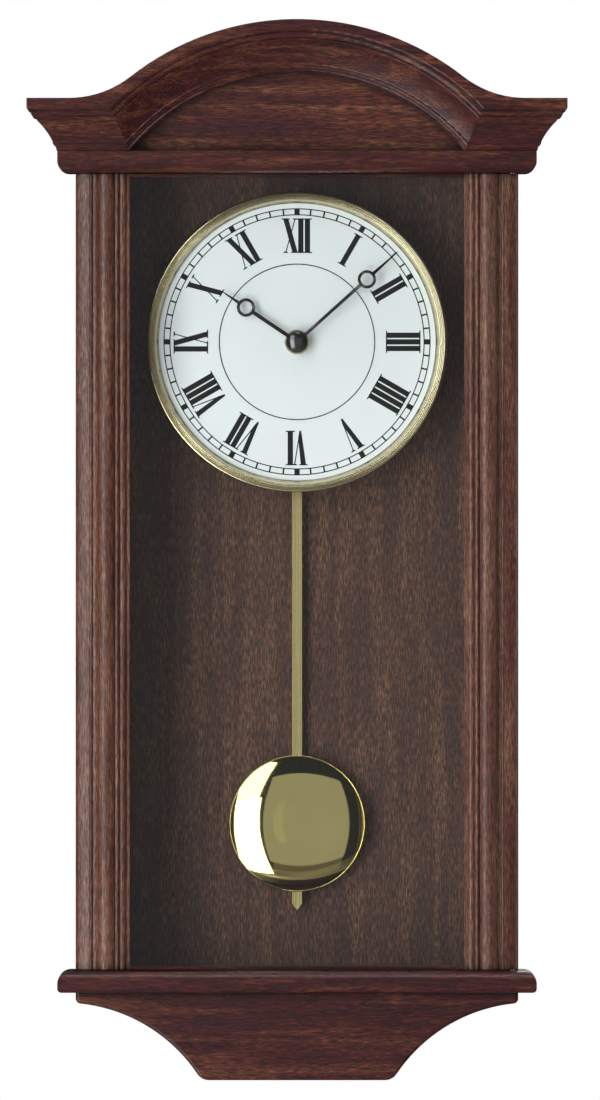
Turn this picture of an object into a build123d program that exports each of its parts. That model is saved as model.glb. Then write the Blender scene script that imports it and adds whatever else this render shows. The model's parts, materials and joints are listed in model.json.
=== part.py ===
from build123d import *
import math
import os

# A pendulum wall clock. Millimetres. X to the right, +Y towards the wall, +Z up.
# Heights are counted from the bottom of the apron; export() moves the origin to the wall hanger.

# ---- case, front view ----
CASE_HALF = 125.4            # outer faces of the side boards and of the door
SIDE_THICK = 12.0
APRON_TOP = 49.6
PLINTH_TOP = 62.1
TOP_BOARD_Z = 514.2
TOP_BOARD_TOP = 526.6
BOARD_OVERHANG = 10.4
BOARD_ROUND = 6.5            # quarter-round edge of the board under the crown
PLINTH_LOW_ROUND = 2.4
PLINTH_ROUND = 7.4           # quarter-round edge of the board above the apron
CROWN_OVERHANG = 27.7
HANGER_Z = 493.0             # centre of the keyhole, the origin of the finished part

# ---- case, depth ----
SIDE_FRONT = -72.5
DOOR_BACK = -74.0
CASE_FRONT = -92.0           # furthest front of the door stiles
PANEL_BACK = -12.0
PANEL_FRONT = -16.0
PANEL_GROOVE = 4.0           # how far the panel enters each side board
BOARD_FRONT = CASE_FRONT - BOARD_OVERHANG
CROWN_FRONT = CASE_FRONT - CROWN_OVERHANG

# ---- crown ----
EAR_TOP = 556.3
CROWN_ARC_Z = 448.2          # centre of the arch
CROWN_ARC_R = 152.7          # top edge of the arch
CROWN_FILLET_R = 56.5        # hollow curve between the arch and each ear
MOULDING_FACE = 29.7         # height of the moulded face
CROWN_BACK = -88.0
TYMPANUM_BACK = -82.0
TYMPANUM_REACH = 8.0         # how far the panel goes behind the arch it is glued to

# ---- apron ----
APRON_HOLLOW_R = 91.4
APRON_HOLLOW_X = 132.3
APRON_HOLLOW_Z = -47.5
APRON_FOOT_HALF = 47.8
APRON_CORNER_R = 8.0
APRON_SHOULDER_R = 3.0       # rounding where the straight side meets the hollow
APRON_BOARD = 14.0
APRON_SHELL = 7.0
APRON_EDGE_R = 1.8

# ---- door ----
DOOR_GAP = 0.5
STILE_WIDTH = 30.6
RAIL_HEIGHT = 2.0
LIP_FRONT = -88.0
GLASS_FRONT = -85.0
GLASS_THICK = 3.0
REBATE = 5.0                 # how far the glass goes behind the lip
PIN_X = 121.8
PIN_Y = -81.0
PIN_R = 1.5
PIN_IN_STILE = 10.0
PIN_IN_BUSH = 6.0
BUSH_R = 2.6
RUNNING = 0.05               # radial clearance of a running fit

# ---- dial ----
DIAL_Z = 418.6
DIAL_R = 80.1
DIAL_FRONT = -52.0
DIAL_THICK = 0.8
BACKING_R = 81.5
BACKING_THICK = 3.0
BEZEL_R = 85.5
DIAL_HOLE_R = 4.3
POST_CIRCLE_R = 66.0
POST_ANGLES = (90, 210, 330)
POST_R = 4.0

# ---- hands ----
HOUR_ANGLE = 303.9           # clockwise from the twelve
MINUTE_ANGLE = 48.2
HOUR_RING_AT = 34.9
HOUR_TIP = 51.4
HOUR_HAND_WIDTH = 2.2
MINUTE_RING_AT = 53.2
MINUTE_TIP = 76.6
MINUTE_HAND_WIDTH = 1.9
RING_R = 5.2
RING_STROKE = 1.7
HAND_THICK = 0.5
HAND_COLLAR_R = 4.6
HAND_TIP_WIDTH = 2.3         # where the pointed end leaves the ring
HOUR_HAND_Y = -56.6
MINUTE_HAND_Y = -58.8
CAP_R = 6.2
WASHER_R = 7.1
CAP_HEIGHT = 2.8

# ---- movement, depths counted rearwards from its front face ----
MOVE_FRONT = DIAL_FRONT + DIAL_THICK + BACKING_THICK
MOVE_HALF = 28.0
MOVE_TOP = 28.0              # above the hand shaft
MOVE_BOTTOM = -64.0          # below the hand shaft
MOVE_SPLIT = 10.5
MOVE_DEPTH = 21.0
MOVE_WALL = 1.6
BUSH_OUT_R = 4.0
HOUR_TUBE_R = 2.55
MINUTE_SHAFT_R = 1.6
BATTERY_Z = -37.0
BATTERY_DEPTH = 10.7
BATTERY_R = 7.25
BATTERY_LENGTH = 50.5
PLATE_FROM = 14.9
PLATE_TO = 16.1

# ---- gear train: tooth counts and modules ----
CANNON_TEETH, MOTION_TEETH, MOTION_MODULE = 12, 36, 0.4
MOTION_PINION_TEETH, HOUR_TEETH = 10, 40
CENTRE_TEETH, THIRD_PINION_TEETH, CENTRE_MODULE = 60, 8, 0.28
THIRD_TEETH, ROTOR_TEETH, THIRD_MODULE = 72, 6, 0.2
SETTING_TEETH = 12
MOTION_ANGLE, THIRD_ANGLE, ROTOR_ANGLE, SETTING_ANGLE = 180, 60, 150, 250
PIVOT_R = 0.6
SETTING_SHAFT_R = 1.2

# ---- pendulum ----
SWING_Z = DIAL_Z - 52.0
SWING_PIN_R = 1.25
LATH_WIDTH = 5.6
LATH_TOP = DIAL_Z - 74.0
LATH_TIP = 95.6
LATH_POINT = 4.0
BOB_Z = 145.0
BOB_R = 38.9
BOB_MIDDLE_R = 23.3          # of the flatter middle of the dome
BOB_MIDDLE_TILT = 8.8        # slope in degrees where the middle meets the shoulder
BOB_EDGE_TILT = 24.5         # slope in degrees at the rim
BOB_SHEET = 0.8
BOB_BACK_Y = -25.2           # plane where the front shell meets the back plate


# ---------------------------------------------------------------- helpers
def block(x0, x1, y0, y1, z0, z1):
    centre = ((x0 + x1) / 2, (y0 + y1) / 2, (z0 + z1) / 2)
    return Pos(*centre) * Box(abs(x1 - x0), abs(y1 - y0), abs(z1 - z0))


def plate(sketch, back, front):
    """A front-view sketch (x, z) made into a board between two depths."""
    return extrude(Plane.XZ.offset(-back) * sketch, back - front)


def along_x(sketch, x0, x1):
    """A (y, z) section drawn out from x0 to x1."""
    return extrude(Plane.YZ.offset(x0) * sketch, x1 - x0)


def along_z(sketch, z0, z1):
    """An (x, y) section drawn out from z0 to z1."""
    return extrude(Plane.XY.offset(z0) * sketch, z1 - z0)


def rod(x, z, radius, back, front):
    return plate(Pos(x, z) * Circle(radius), back, front)


def upright(x, y, radius, z0, z1):
    return along_z(Pos(x, y) * Circle(radius), z0, z1)


def turned(edges, z):
    """A closed (radius, y) outline revolved about the level axis at x = 0 and height z."""
    face = make_face(edges).face()
    if face.normal_at().Z < 0:
        face = -face
    return revolve(Pos(0, 0, z) * face, Axis((0, 0, z), (0, 1, 0)))


def dome(radius, edge_y, crest_y):
    """Arc from the edge of a spherical cap to its crest, with its centre on the axis."""
    rise = abs(crest_y - edge_y)
    sphere_r = (radius**2 + rise**2) / (2 * rise)
    half_turn = math.asin(radius / sphere_r) / 2
    drop = sphere_r * (1 - math.cos(half_turn))
    middle = (sphere_r * math.sin(half_turn), crest_y + math.copysign(drop, edge_y - crest_y))
    return ThreePointArc((radius, edge_y), middle, (0, crest_y))


def on_circle(radius, clockwise_from_top):
    angle = math.radians(clockwise_from_top)
    return radius * math.sin(angle), radius * math.cos(angle)


def is_arc(step):
    return isinstance(step[0], tuple)


def end_of(step):
    return step[1] if is_arc(step) else step


def path(start, steps, place):
    """Edges through steps: a pair is a straight run, two pairs are an arc by its middle and end."""
    edges = []
    here = start
    for step in steps:
        end = end_of(step)
        if is_arc(step):
            edges.append(ThreePointArc(place(*here), place(*step[0]), place(*end)))
        else:
            edges.append(Line(place(*here), place(*end)))
        here = end
    return edges


def mirrored(part):
    return mirror(part, about=Plane.YZ)


# ---------------------------------------------------------------- crown
def crown_cutter_face(place):
    """What is cut away from the crown's square edge. d is down from the edge, p is projection."""
    top = CROWN_OVERHANG
    clear = CROWN_OVERHANG + 3
    start = (4.6, top)
    steps = [
        ((6.4, top - 0.5), (7.2, top - 1.7)),
        (7.3, top - 2.5),
        (7.7, top - 2.5),
        ((9.6, top - 2.8), (10.7, top - 4.4)),
        (10.8, top - 5.1),
        (11.6, top - 5.3),
        ((18.0, 16.9), (24.8, 12.9)),
        ((25.6, 12.9), (25.9, 12.1)),
        ((27.2, 11.6), (28.2, 10.9)),
        ((29.1, 10.9), (29.3, 10.2)),
        (MOULDING_FACE + 1, 10.2),
        (MOULDING_FACE + 1, clear),
        (4.6, clear),
        start,
    ]
    return make_face(path(start, steps, place))


def crown_outline():
    """Front outline: flat ears, a hollow curve, and the arch."""
    hollow_z = EAR_TOP + CROWN_FILLET_R
    reach = CROWN_ARC_R + CROWN_FILLET_R
    rise = hollow_z - CROWN_ARC_Z
    hollow_x = math.sqrt(reach**2 - rise**2)
    slope = math.degrees(math.atan2(rise, hollow_x))
    ear = CASE_HALF + CROWN_OVERHANG
    arch = CenterArc((0, CROWN_ARC_Z), CROWN_ARC_R, slope, 180 - 2 * slope)
    right = CenterArc((hollow_x, hollow_z), CROWN_FILLET_R, 180 + slope, 90 - slope)
    left = CenterArc((-hollow_x, hollow_z), CROWN_FILLET_R, 270, 90 - slope)
    base = Polyline(
        (hollow_x, EAR_TOP), (ear, EAR_TOP), (ear, TOP_BOARD_TOP),
        (-ear, TOP_BOARD_TOP), (-ear, EAR_TOP), (-hollow_x, EAR_TOP),
    )
    return make_face([arch, right, left, *base.edges()])


def mitre_prism(inside):
    """Plan-view region on one side of the 45 degree mitres: the front's (inside) or the right return's."""
    corner = CASE_HALF + CROWN_OVERHANG
    run = corner - 60
    front = CROWN_FRONT
    if inside:
        plan = Polyline((corner, front), (corner - run, front + run),
                        (run - corner, front + run), (-corner, front), close=True)
    else:
        plan = Polyline((corner, front), (corner - run, front + run), (corner - run, 10),
                        (corner + 10, 10), (corner + 10, front), close=True)
    return along_z(make_face(plan), TOP_BOARD_TOP - 5, CROWN_ARC_Z + CROWN_ARC_R + 5)


def arch_zone():
    """The middle of the crown, between the mitres where the arch meets the straight ears."""
    def meeting_x(down):
        radius = CROWN_ARC_R - down
        rise = EAR_TOP - down - CROWN_ARC_Z
        return math.sqrt(radius**2 - rise**2)

    lean = (meeting_x(0) - meeting_x(MOULDING_FACE)) / MOULDING_FACE
    low, high = TOP_BOARD_TOP - 5, CROWN_ARC_Z + CROWN_ARC_R + 5
    low_x = meeting_x(0) - lean * (EAR_TOP - low)
    high_x = meeting_x(0) + lean * (high - EAR_TOP)
    zone = Polyline((-low_x, low), (low_x, low), (high_x, high), (-high_x, high), close=True)
    return plate(make_face(zone), CROWN_BACK + 1, CROWN_FRONT - 5)


def crown_front():
    body = plate(crown_outline(), CROWN_BACK, CROWN_FRONT)
    body -= rod(0, CROWN_ARC_Z, CROWN_ARC_R - MOULDING_FACE, CROWN_BACK + 1, CROWN_FRONT - 1)
    arc_face = crown_cutter_face(lambda d, p: (CROWN_ARC_R - d, CASE_FRONT - p))
    arch = (body & arch_zone()) - turned(arc_face.edges(), CROWN_ARC_Z)
    line_face = crown_cutter_face(lambda d, p: (CASE_FRONT - p, EAR_TOP - d))
    ears = body - arch_zone()
    ears -= along_x(line_face, -CASE_HALF - CROWN_OVERHANG - 1, CASE_HALF + CROWN_OVERHANG + 1)
    ears &= mitre_prism(True)
    return arch + ears


def crown_return():
    inner = CASE_HALF + CROWN_OVERHANG - (CROWN_BACK - CROWN_FRONT)
    body = block(inner, CASE_HALF + CROWN_OVERHANG, CROWN_FRONT, 0, TOP_BOARD_TOP, EAR_TOP)
    face = crown_cutter_face(lambda d, p: (CASE_HALF + p, EAR_TOP - d))
    body -= plate(face, 1, CROWN_FRONT - 1)
    return body & mitre_prism(False)


def tympanum_panel():
    disc = Pos(0, CROWN_ARC_Z) * Circle(CROWN_ARC_R - MOULDING_FACE + TYMPANUM_REACH)
    above = Pos(0, TOP_BOARD_TOP + 50) * Rectangle(300, 100)
    return plate(disc & above, TYMPANUM_BACK, CROWN_BACK)


# ---------------------------------------------------------------- boards
def moulded_board(start, steps, z_low, z_high):
    """A board with the same moulded edge at its front and both sides. The edge is (inset, z)."""
    half = CASE_HALF + BOARD_OVERHANG
    front_edge = path(start, steps, lambda inset, z: (BOARD_FRONT + inset, z))
    inset_low, inset_high = start[0], end_of(steps[-1])[0]
    back = [
        Line((BOARD_FRONT + inset_high, z_high), (0, z_high)),
        Line((0, z_high), (0, z_low)),
        Line((0, z_low), (BOARD_FRONT + inset_low, z_low)),
    ]
    section = make_face(front_edge + back)
    side_edge = path(start, steps, lambda inset, z: (half - inset, z))
    middle = [
        Line((half - inset_high, z_high), (0, z_high)),
        Line((0, z_high), (0, z_low)),
        Line((0, z_low), (half - inset_low, z_low)),
    ]
    right = plate(make_face(side_edge + middle), 0, BOARD_FRONT - 1)
    return along_x(section, -half - 1, half + 1) & (right + mirrored(right))


def top_board():
    z = TOP_BOARD_Z
    bulge = BOARD_ROUND * (1 - math.sqrt(0.5))
    steps = [((bulge, z + bulge), (0, z + BOARD_ROUND)), (0, TOP_BOARD_TOP)]
    board = moulded_board((BOARD_ROUND, z), steps, z, TOP_BOARD_TOP)
    board -= upright(PIN_X, PIN_Y, BUSH_R, z - 1, z + PIN_IN_BUSH + 1)
    return board - dowels()


def plinth_board():
    low, high = APRON_TOP, PLINTH_TOP
    bulge = PLINTH_ROUND * (1 - math.sqrt(0.5))
    steps = [
        ((0.7, low + 0.7), (0, low + PLINTH_LOW_ROUND)),
        (0, high - PLINTH_ROUND),
        ((bulge, high - bulge), (PLINTH_ROUND, high)),
    ]
    board = moulded_board((PLINTH_LOW_ROUND, low), steps, low, high)
    board -= upright(PIN_X, PIN_Y, BUSH_R, high - PIN_IN_BUSH - 1, high + 1)
    return board - dowels()


def dowels():
    """Eight wooden dowels between the side boards and the boards above and below."""
    x = CASE_HALF - SIDE_THICK / 2
    found = Part()
    for side in (-x, x):
        for y in (-24, -56):
            found += upright(side, y, 3, PLINTH_TOP - 9, PLINTH_TOP + 12)
            found += upright(side, y, 3, TOP_BOARD_Z - 12, TOP_BOARD_Z + 8)
    return found


def side_board():
    """The right side board, with its groove for the back panel."""
    board = block(CASE_HALF - SIDE_THICK, CASE_HALF, SIDE_FRONT, 0, PLINTH_TOP, TOP_BOARD_Z)
    groove = CASE_HALF - SIDE_THICK + PANEL_GROOVE
    board -= block(0, groove, PANEL_FRONT, PANEL_BACK, PLINTH_TOP - 1, TOP_BOARD_Z + 1)
    return board - dowels()


def back_panel():
    half = CASE_HALF - SIDE_THICK + PANEL_GROOVE - 0.3
    panel = block(-half, half, PANEL_FRONT, PANEL_BACK, PLINTH_TOP, TOP_BOARD_Z)
    panel -= block(-34, 34, PANEL_FRONT - 1, PANEL_BACK + 1, DIAL_Z - 58, DIAL_Z + 34)
    for angle in POST_ANGLES:
        x, z = on_circle(POST_CIRCLE_R, angle)
        panel -= rod(x, DIAL_Z + z, 2, PANEL_BACK + 1, PANEL_FRONT - 1)
    return panel


# ---------------------------------------------------------------- apron
def apron_outline(inset):
    """Bracket outline: straight sides, a hollow sweep, and a rounded foot, all moved in by inset."""
    foot_z = inset
    hollow_r = APRON_HOLLOW_R + inset
    corner_r = max(APRON_CORNER_R - inset, 1.0)
    side = CASE_HALF - inset
    corner_z = foot_z + corner_r
    across = math.sqrt((hollow_r + corner_r) ** 2 - (corner_z - APRON_HOLLOW_Z) ** 2)
    corner_x = APRON_HOLLOW_X - across
    lean = math.degrees(math.atan2(corner_z - APRON_HOLLOW_Z, corner_x - APRON_HOLLOW_X))
    side_z = APRON_HOLLOW_Z + math.sqrt(hollow_r**2 - (side - APRON_HOLLOW_X) ** 2)
    steep = math.degrees(math.atan2(side_z - APRON_HOLLOW_Z, side - APRON_HOLLOW_X))
    hollow = CenterArc((APRON_HOLLOW_X, APRON_HOLLOW_Z), hollow_r, steep, lean - steep)
    corner = CenterArc((corner_x, corner_z), corner_r, -90, lean - 90)
    edges = [
        Line((0, APRON_TOP), (side, APRON_TOP)),
        Line((side, APRON_TOP), (side, side_z)),
        hollow,
        corner,
        Line((corner_x, foot_z), (0, foot_z)),
        Line((0, foot_z), (0, APRON_TOP)),
    ]
    right = make_face(edges)
    shoulder_r = APRON_SHOULDER_R - inset
    if shoulder_r > 0:
        shoulder = [v for v in right.vertices() if abs(v.X - side) + abs(v.Y - side_z) < 0.01]
        right = fillet(shoulder, shoulder_r)
    return right + mirrored(right)


def apron_front():
    board = plate(apron_outline(0), CASE_FRONT + APRON_BOARD, CASE_FRONT)
    front = board.faces().sort_by(Axis.Y)[0]
    low_edges = [edge for edge in front.edges() if edge.center().Z < APRON_TOP - 0.1]
    return fillet(low_edges, APRON_EDGE_R)


def apron_shell():
    outer = plate(apron_outline(0), 0, CASE_FRONT + APRON_BOARD)
    return outer - plate(apron_outline(APRON_SHELL), 1, CASE_FRONT + APRON_BOARD - 1)


def apron_cheek():
    return apron_shell() & block(APRON_FOOT_HALF, 200, -200, 10, -10, APRON_TOP + 1)


def apron_bottom():
    half = APRON_FOOT_HALF
    return apron_shell() & block(-half, half, -200, 10, -10, APRON_TOP / 2)


def glue_blocks():
    """Corner blocks behind the apron's front board and behind the tympanum."""
    found = Part()
    for x in (-70, 50):
        found += block(x, x + 20, -78, -58, APRON_TOP - 20, APRON_TOP)
        found += block(x, x + 20, TYMPANUM_BACK, TYMPANUM_BACK + 18, TOP_BOARD_TOP, TOP_BOARD_TOP + 18)
    return found


# ---------------------------------------------------------------- wall hanger
def hanger_rail():
    half = CASE_HALF - SIDE_THICK
    rail = block(-half, half, PANEL_BACK, 0, HANGER_Z - 13, TOP_BOARD_Z)
    rail -= block(-22, 22, -1.5, 1, HANGER_Z - 11, HANGER_Z + 17)
    rail -= block(-8, 8, PANEL_BACK + 2, 1, HANGER_Z - 8, HANGER_Z + 14)
    for x in (-16, 16):
        rail -= rod(x, HANGER_Z + 3, 1.5, 1, PANEL_BACK + 2)
    return rail


def hanger_plate():
    """Steel plate with a keyhole: the screw head enters below and the slot drops over its shank."""
    sheet = block(-22, 22, -1.5, 0, HANGER_Z - 11, HANGER_Z + 17)
    sheet -= rod(0, HANGER_Z, 5, 1, -3)
    sheet -= block(-2.25, 2.25, 1, -3, HANGER_Z, HANGER_Z + 9)
    sheet -= rod(0, HANGER_Z + 9, 2.25, 1, -3)
    for x in (-16, 16):
        sheet -= rod(x, HANGER_Z + 3, 1.7, 1, -3)
        sheet -= rod(x, HANGER_Z + 3, 3, 1, -0.9)
    return sheet


def hanger_screws():
    found = Part()
    for x in (-16, 16):
        found += rod(x, HANGER_Z + 3, 2.9, 0, -0.9)
        found += rod(x, HANGER_Z + 3, 1.5, -0.9, -9)
    return found


# ---------------------------------------------------------------- door
def stile_section(side):
    """Plan section of a stile. s is counted in from the outer edge; side is 1 right, -1 left."""
    inner = STILE_WIDTH
    start = (0, DOOR_BACK)
    steps = [
        (0, -82.6),
        ((0.4, -85.0), (1.5, -86.3)),
        ((4.6, -87.6), (7.9, -88.2)),
        (8.1, -87.8),
        ((8.7, -88.7), (9.4, -87.9)),
        ((11.6, -88.5), (13.0, -90.3)),
        ((17.3, CASE_FRONT), (21.7, -90.2)),
        (22.0, -89.5),
        ((23.3, -90.3), (24.6, -89.5)),
        (24.9, -89.0),
        ((26.6, -89.6), (28.3, -88.7)),
        (29.0, LIP_FRONT),
        (inner, LIP_FRONT),
        (inner, GLASS_FRONT),
        (inner - REBATE, GLASS_FRONT),
        (inner - REBATE, DOOR_BACK),
        start,
    ]
    return make_face(path(start, steps, lambda s, y: (side * (CASE_HALF - s), y)))


def door_stile(side):
    low, high = PLINTH_TOP + DOOR_GAP, TOP_BOARD_Z - DOOR_GAP
    stile = along_z(stile_section(side), low, high)
    if side == 1:
        stile -= upright(PIN_X, PIN_Y, PIN_R, low - 1, low + PIN_IN_STILE)
        stile -= upright(PIN_X, PIN_Y, PIN_R, high - PIN_IN_STILE, high + 1)
    return stile


def door_rail(low):
    half = CASE_HALF - STILE_WIDTH
    return block(-half, half, LIP_FRONT, DOOR_BACK - 1, low, low + RAIL_HEIGHT)


def door_glass():
    half = CASE_HALF - STILE_WIDTH + REBATE - 0.2
    low = PLINTH_TOP + DOOR_GAP + RAIL_HEIGHT
    high = TOP_BOARD_Z - DOOR_GAP - RAIL_HEIGHT
    return block(-half, half, GLASS_FRONT, GLASS_FRONT + GLASS_THICK, low, high)


def glazing_beads():
    outer = CASE_HALF - STILE_WIDTH + REBATE
    low, high = PLINTH_TOP + DOOR_GAP + 3, TOP_BOARD_Z - DOOR_GAP - 3
    bead = block(outer - 4.6, outer, GLASS_FRONT + GLASS_THICK, DOOR_BACK - 1, low, high)
    return bead + mirrored(bead)


def door_pins():
    low, high = PLINTH_TOP, TOP_BOARD_Z
    pins = upright(PIN_X, PIN_Y, PIN_R, low - PIN_IN_BUSH, low + DOOR_GAP + PIN_IN_STILE)
    return pins + upright(PIN_X, PIN_Y, PIN_R, high - DOOR_GAP - PIN_IN_STILE, high + PIN_IN_BUSH)


def pivot_bushes():
    low, high = PLINTH_TOP, TOP_BOARD_Z
    found = upright(PIN_X, PIN_Y, BUSH_R, low - PIN_IN_BUSH - 1, low)
    found += upright(PIN_X, PIN_Y, BUSH_R, high, high + PIN_IN_BUSH + 1)
    bore = PIN_R + RUNNING
    found -= upright(PIN_X, PIN_Y, bore, low - PIN_IN_BUSH - 0.3, low + 1)
    return found - upright(PIN_X, PIN_Y, bore, high - 1, high + PIN_IN_BUSH + 0.3)


def magnet_catch():
    inner = CASE_HALF - SIDE_THICK
    return block(-inner, -inner + 10, SIDE_FRONT, SIDE_FRONT + 11, 276, 304)


def strike_plate():
    inner = CASE_HALF - SIDE_THICK
    return block(-inner + 1, -inner + 9, DOOR_BACK, DOOR_BACK + 0.8, 278, 302)


# ---------------------------------------------------------------- dial
def dial_plate():
    disc = rod(0, DIAL_Z, DIAL_R, DIAL_FRONT + DIAL_THICK, DIAL_FRONT)
    return disc - rod(0, DIAL_Z, DIAL_HOLE_R, 0, DIAL_FRONT - 1)


def dial_backing():
    disc = rod(0, DIAL_Z, BACKING_R, MOVE_FRONT, DIAL_FRONT + DIAL_THICK)
    return disc - rod(0, DIAL_Z, DIAL_HOLE_R, 0, DIAL_FRONT - 1)


def dial_bezel():
    """Pressed brass ring: an inner slope down to the dial, two ridges, and a rim turned back."""
    ridges = [
        (6.8, 0.1), (6.8, 0.9), (5.7, 1.6), (4.6, 5.2), (3.9, 5.9), (3.2, 5.6), (2.7, 4.8),
        (2.0, 4.9), (1.4, 4.2), (1.0, 2.2), (0.3, 1.6), (0, 0.8),
    ]
    points = [(BEZEL_R - inset, DIAL_FRONT - height) for inset, height in ridges]
    inner = BACKING_R + 0.1
    points += [(BEZEL_R, MOVE_FRONT), (inner, MOVE_FRONT), (inner, DIAL_FRONT - 0.1)]
    return turned(Polyline(*points, close=True).edges(), DIAL_Z)


def dial_posts():
    found = Part()
    for angle in POST_ANGLES:
        x, z = on_circle(POST_CIRCLE_R, angle)
        found += rod(x, DIAL_Z + z, POST_R, PANEL_FRONT, MOVE_FRONT)
        found -= rod(x, DIAL_Z + z, 1.6, PANEL_FRONT + 1, PANEL_FRONT - 12)
    return found


def dial_screws():
    found = Part()
    for angle in POST_ANGLES:
        x, z = on_circle(POST_CIRCLE_R, angle)
        found += rod(x, DIAL_Z + z, 3.6, PANEL_BACK + 2, PANEL_BACK)
        found += rod(x, DIAL_Z + z, 1.6, PANEL_BACK, PANEL_FRONT - 11)
    return found


def dial_washer():
    ring = rod(0, DIAL_Z, WASHER_R, DIAL_FRONT, DIAL_FRONT - 0.5)
    return ring - rod(0, DIAL_Z, BUSH_OUT_R + 0.1, 0, DIAL_FRONT - 2)


def dial_nut():
    hexagon = Pos(0, DIAL_Z) * RegularPolygon(6.2, 6)
    nut = plate(hexagon, DIAL_FRONT - 0.5, DIAL_FRONT - 2.7)
    return nut - rod(0, DIAL_Z, BUSH_OUT_R, 0, DIAL_FRONT - 4)


# ---------------------------------------------------------------- hands
def hand(ring_at, tip, width, bore_r, angle, front):
    """A slender hand with an open ring, pointing up and then turned clockwise."""
    half = width / 2
    shape = Circle(HAND_COLLAR_R)
    shape += Pos(0, ring_at / 2) * Rectangle(width, ring_at)
    base, point = HAND_TIP_WIDTH / 2, 0.25
    taper = Polyline((-base, ring_at), (base, ring_at), (point, tip), (-point, tip), close=True)
    shape += make_face(taper)
    shape += Pos(0, ring_at) * Circle(RING_R)
    shape -= Pos(0, ring_at) * Circle(RING_R - RING_STROKE)
    shape -= Circle(bore_r)
    shape = Pos(0, DIAL_Z) * Rot(0, 0, -angle) * shape
    return plate(shape, front + HAND_THICK, front)


def hour_hand():
    return hand(HOUR_RING_AT, HOUR_TIP, HOUR_HAND_WIDTH, HOUR_TUBE_R, HOUR_ANGLE, HOUR_HAND_Y)


def minute_hand():
    return hand(MINUTE_RING_AT, MINUTE_TIP, MINUTE_HAND_WIDTH, MINUTE_SHAFT_R, MINUTE_ANGLE, MINUTE_HAND_Y)


def hand_cap():
    """Domed button pressed on the end of the minute shaft."""
    back = MINUTE_HAND_Y
    edges = [
        Line((0, back), (CAP_R, back)),
        Line((CAP_R, back), (CAP_R, back - 0.6)),
        dome(CAP_R, back - 0.6, back - CAP_HEIGHT),
        Line((0, back - CAP_HEIGHT), (0, back)),
    ]
    return turned(edges, DIAL_Z) - rod(0, DIAL_Z, MINUTE_SHAFT_R, back, back - 1)


# ---------------------------------------------------------------- gears
def depth(distance):
    return MOVE_FRONT + distance


def gear(teeth, module, tooth_at, x, z, near, far):
    """A spur gear with tapered teeth, one of them centred at tooth_at degrees from +X."""
    pitch = math.radians(360 / teeth)
    radius = teeth * module / 2
    root = radius - 1.2 * module
    tip = radius + 0.85 * module
    half_root, half_tip = 0.26 * pitch, 0.10 * pitch
    points = []
    for number in range(teeth):
        middle = math.radians(tooth_at) + number * pitch
        corners = ((root, -half_root), (tip, -half_tip), (tip, half_tip), (root, half_root))
        for reach, turn in corners:
            points.append((reach * math.cos(middle + turn), reach * math.sin(middle + turn)))
    face = make_face(Polyline(*points, close=True))
    return plate(Pos(x, DIAL_Z + z) * face, depth(far), depth(near))


def arbor(x, z, radius, near, far):
    return rod(x, DIAL_Z + z, radius, depth(far), depth(near))


def step_from(centre, distance, angle):
    turn = math.radians(angle)
    return centre[0] + distance * math.cos(turn), centre[1] + distance * math.sin(turn)


def facing(angle, teeth):
    """Where a tooth goes so that a gap faces the gear that lies back along angle."""
    return angle + 180 + 180 / teeth


MOTION_SPACING = MOTION_MODULE * (CANNON_TEETH + MOTION_TEETH) / 2
HOUR_MODULE = 2 * MOTION_SPACING / (MOTION_PINION_TEETH + HOUR_TEETH)
THIRD_SPACING = CENTRE_MODULE * (CENTRE_TEETH + THIRD_PINION_TEETH) / 2
ROTOR_SPACING = THIRD_MODULE * (THIRD_TEETH + ROTOR_TEETH) / 2
SETTING_SPACING = MOTION_MODULE * (MOTION_TEETH + SETTING_TEETH) / 2
MOTION_AT = step_from((0, 0), MOTION_SPACING, MOTION_ANGLE)
THIRD_AT = step_from((0, 0), THIRD_SPACING, THIRD_ANGLE)
ROTOR_AT = step_from(THIRD_AT, ROTOR_SPACING, ROTOR_ANGLE)
SETTING_AT = step_from(MOTION_AT, SETTING_SPACING, SETTING_ANGLE)


def centre_arbor():
    """Minute shaft with the cannon pinion and the centre wheel."""
    part = rod(0, DIAL_Z, MINUTE_SHAFT_R, depth(PLATE_FROM - 1), MINUTE_HAND_Y - 1)
    part += arbor(0, 0, PIVOT_R, PLATE_FROM - 1, PLATE_TO)
    part += gear(CANNON_TEETH, MOTION_MODULE, MOTION_ANGLE, 0, 0, 3.7, 5.7)
    return part + gear(CENTRE_TEETH, CENTRE_MODULE, THIRD_ANGLE, 0, 0, 6.7, 7.5)


def hour_wheel():
    part = gear(HOUR_TEETH, HOUR_MODULE, MOTION_ANGLE, 0, 0, 2.1, 3.1)
    part += rod(0, DIAL_Z, HOUR_TUBE_R, depth(3.1), HOUR_HAND_Y - 0.3)
    return part - rod(0, DIAL_Z, MINUTE_SHAFT_R + RUNNING, 0, HOUR_HAND_Y - 2)


def motion_wheel():
    x, z = MOTION_AT
    wheel_tooth = facing(MOTION_ANGLE, MOTION_TEETH)
    pinion_tooth = facing(MOTION_ANGLE, MOTION_PINION_TEETH)
    part = gear(MOTION_TEETH, MOTION_MODULE, wheel_tooth, x, z, 4.2, 5.2)
    part += gear(MOTION_PINION_TEETH, HOUR_MODULE, pinion_tooth, x, z, 1.9, 4.2)
    return part + arbor(x, z, PIVOT_R, 0.8, PLATE_TO)


def third_wheel():
    x, z = THIRD_AT
    part = gear(THIRD_TEETH, THIRD_MODULE, ROTOR_ANGLE, x, z, 9.0, 9.8)
    part += gear(THIRD_PINION_TEETH, CENTRE_MODULE, facing(THIRD_ANGLE, THIRD_PINION_TEETH), x, z, 6.2, 9.0)
    return part + arbor(x, z, PIVOT_R, 0.8, PLATE_TO)


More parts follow.
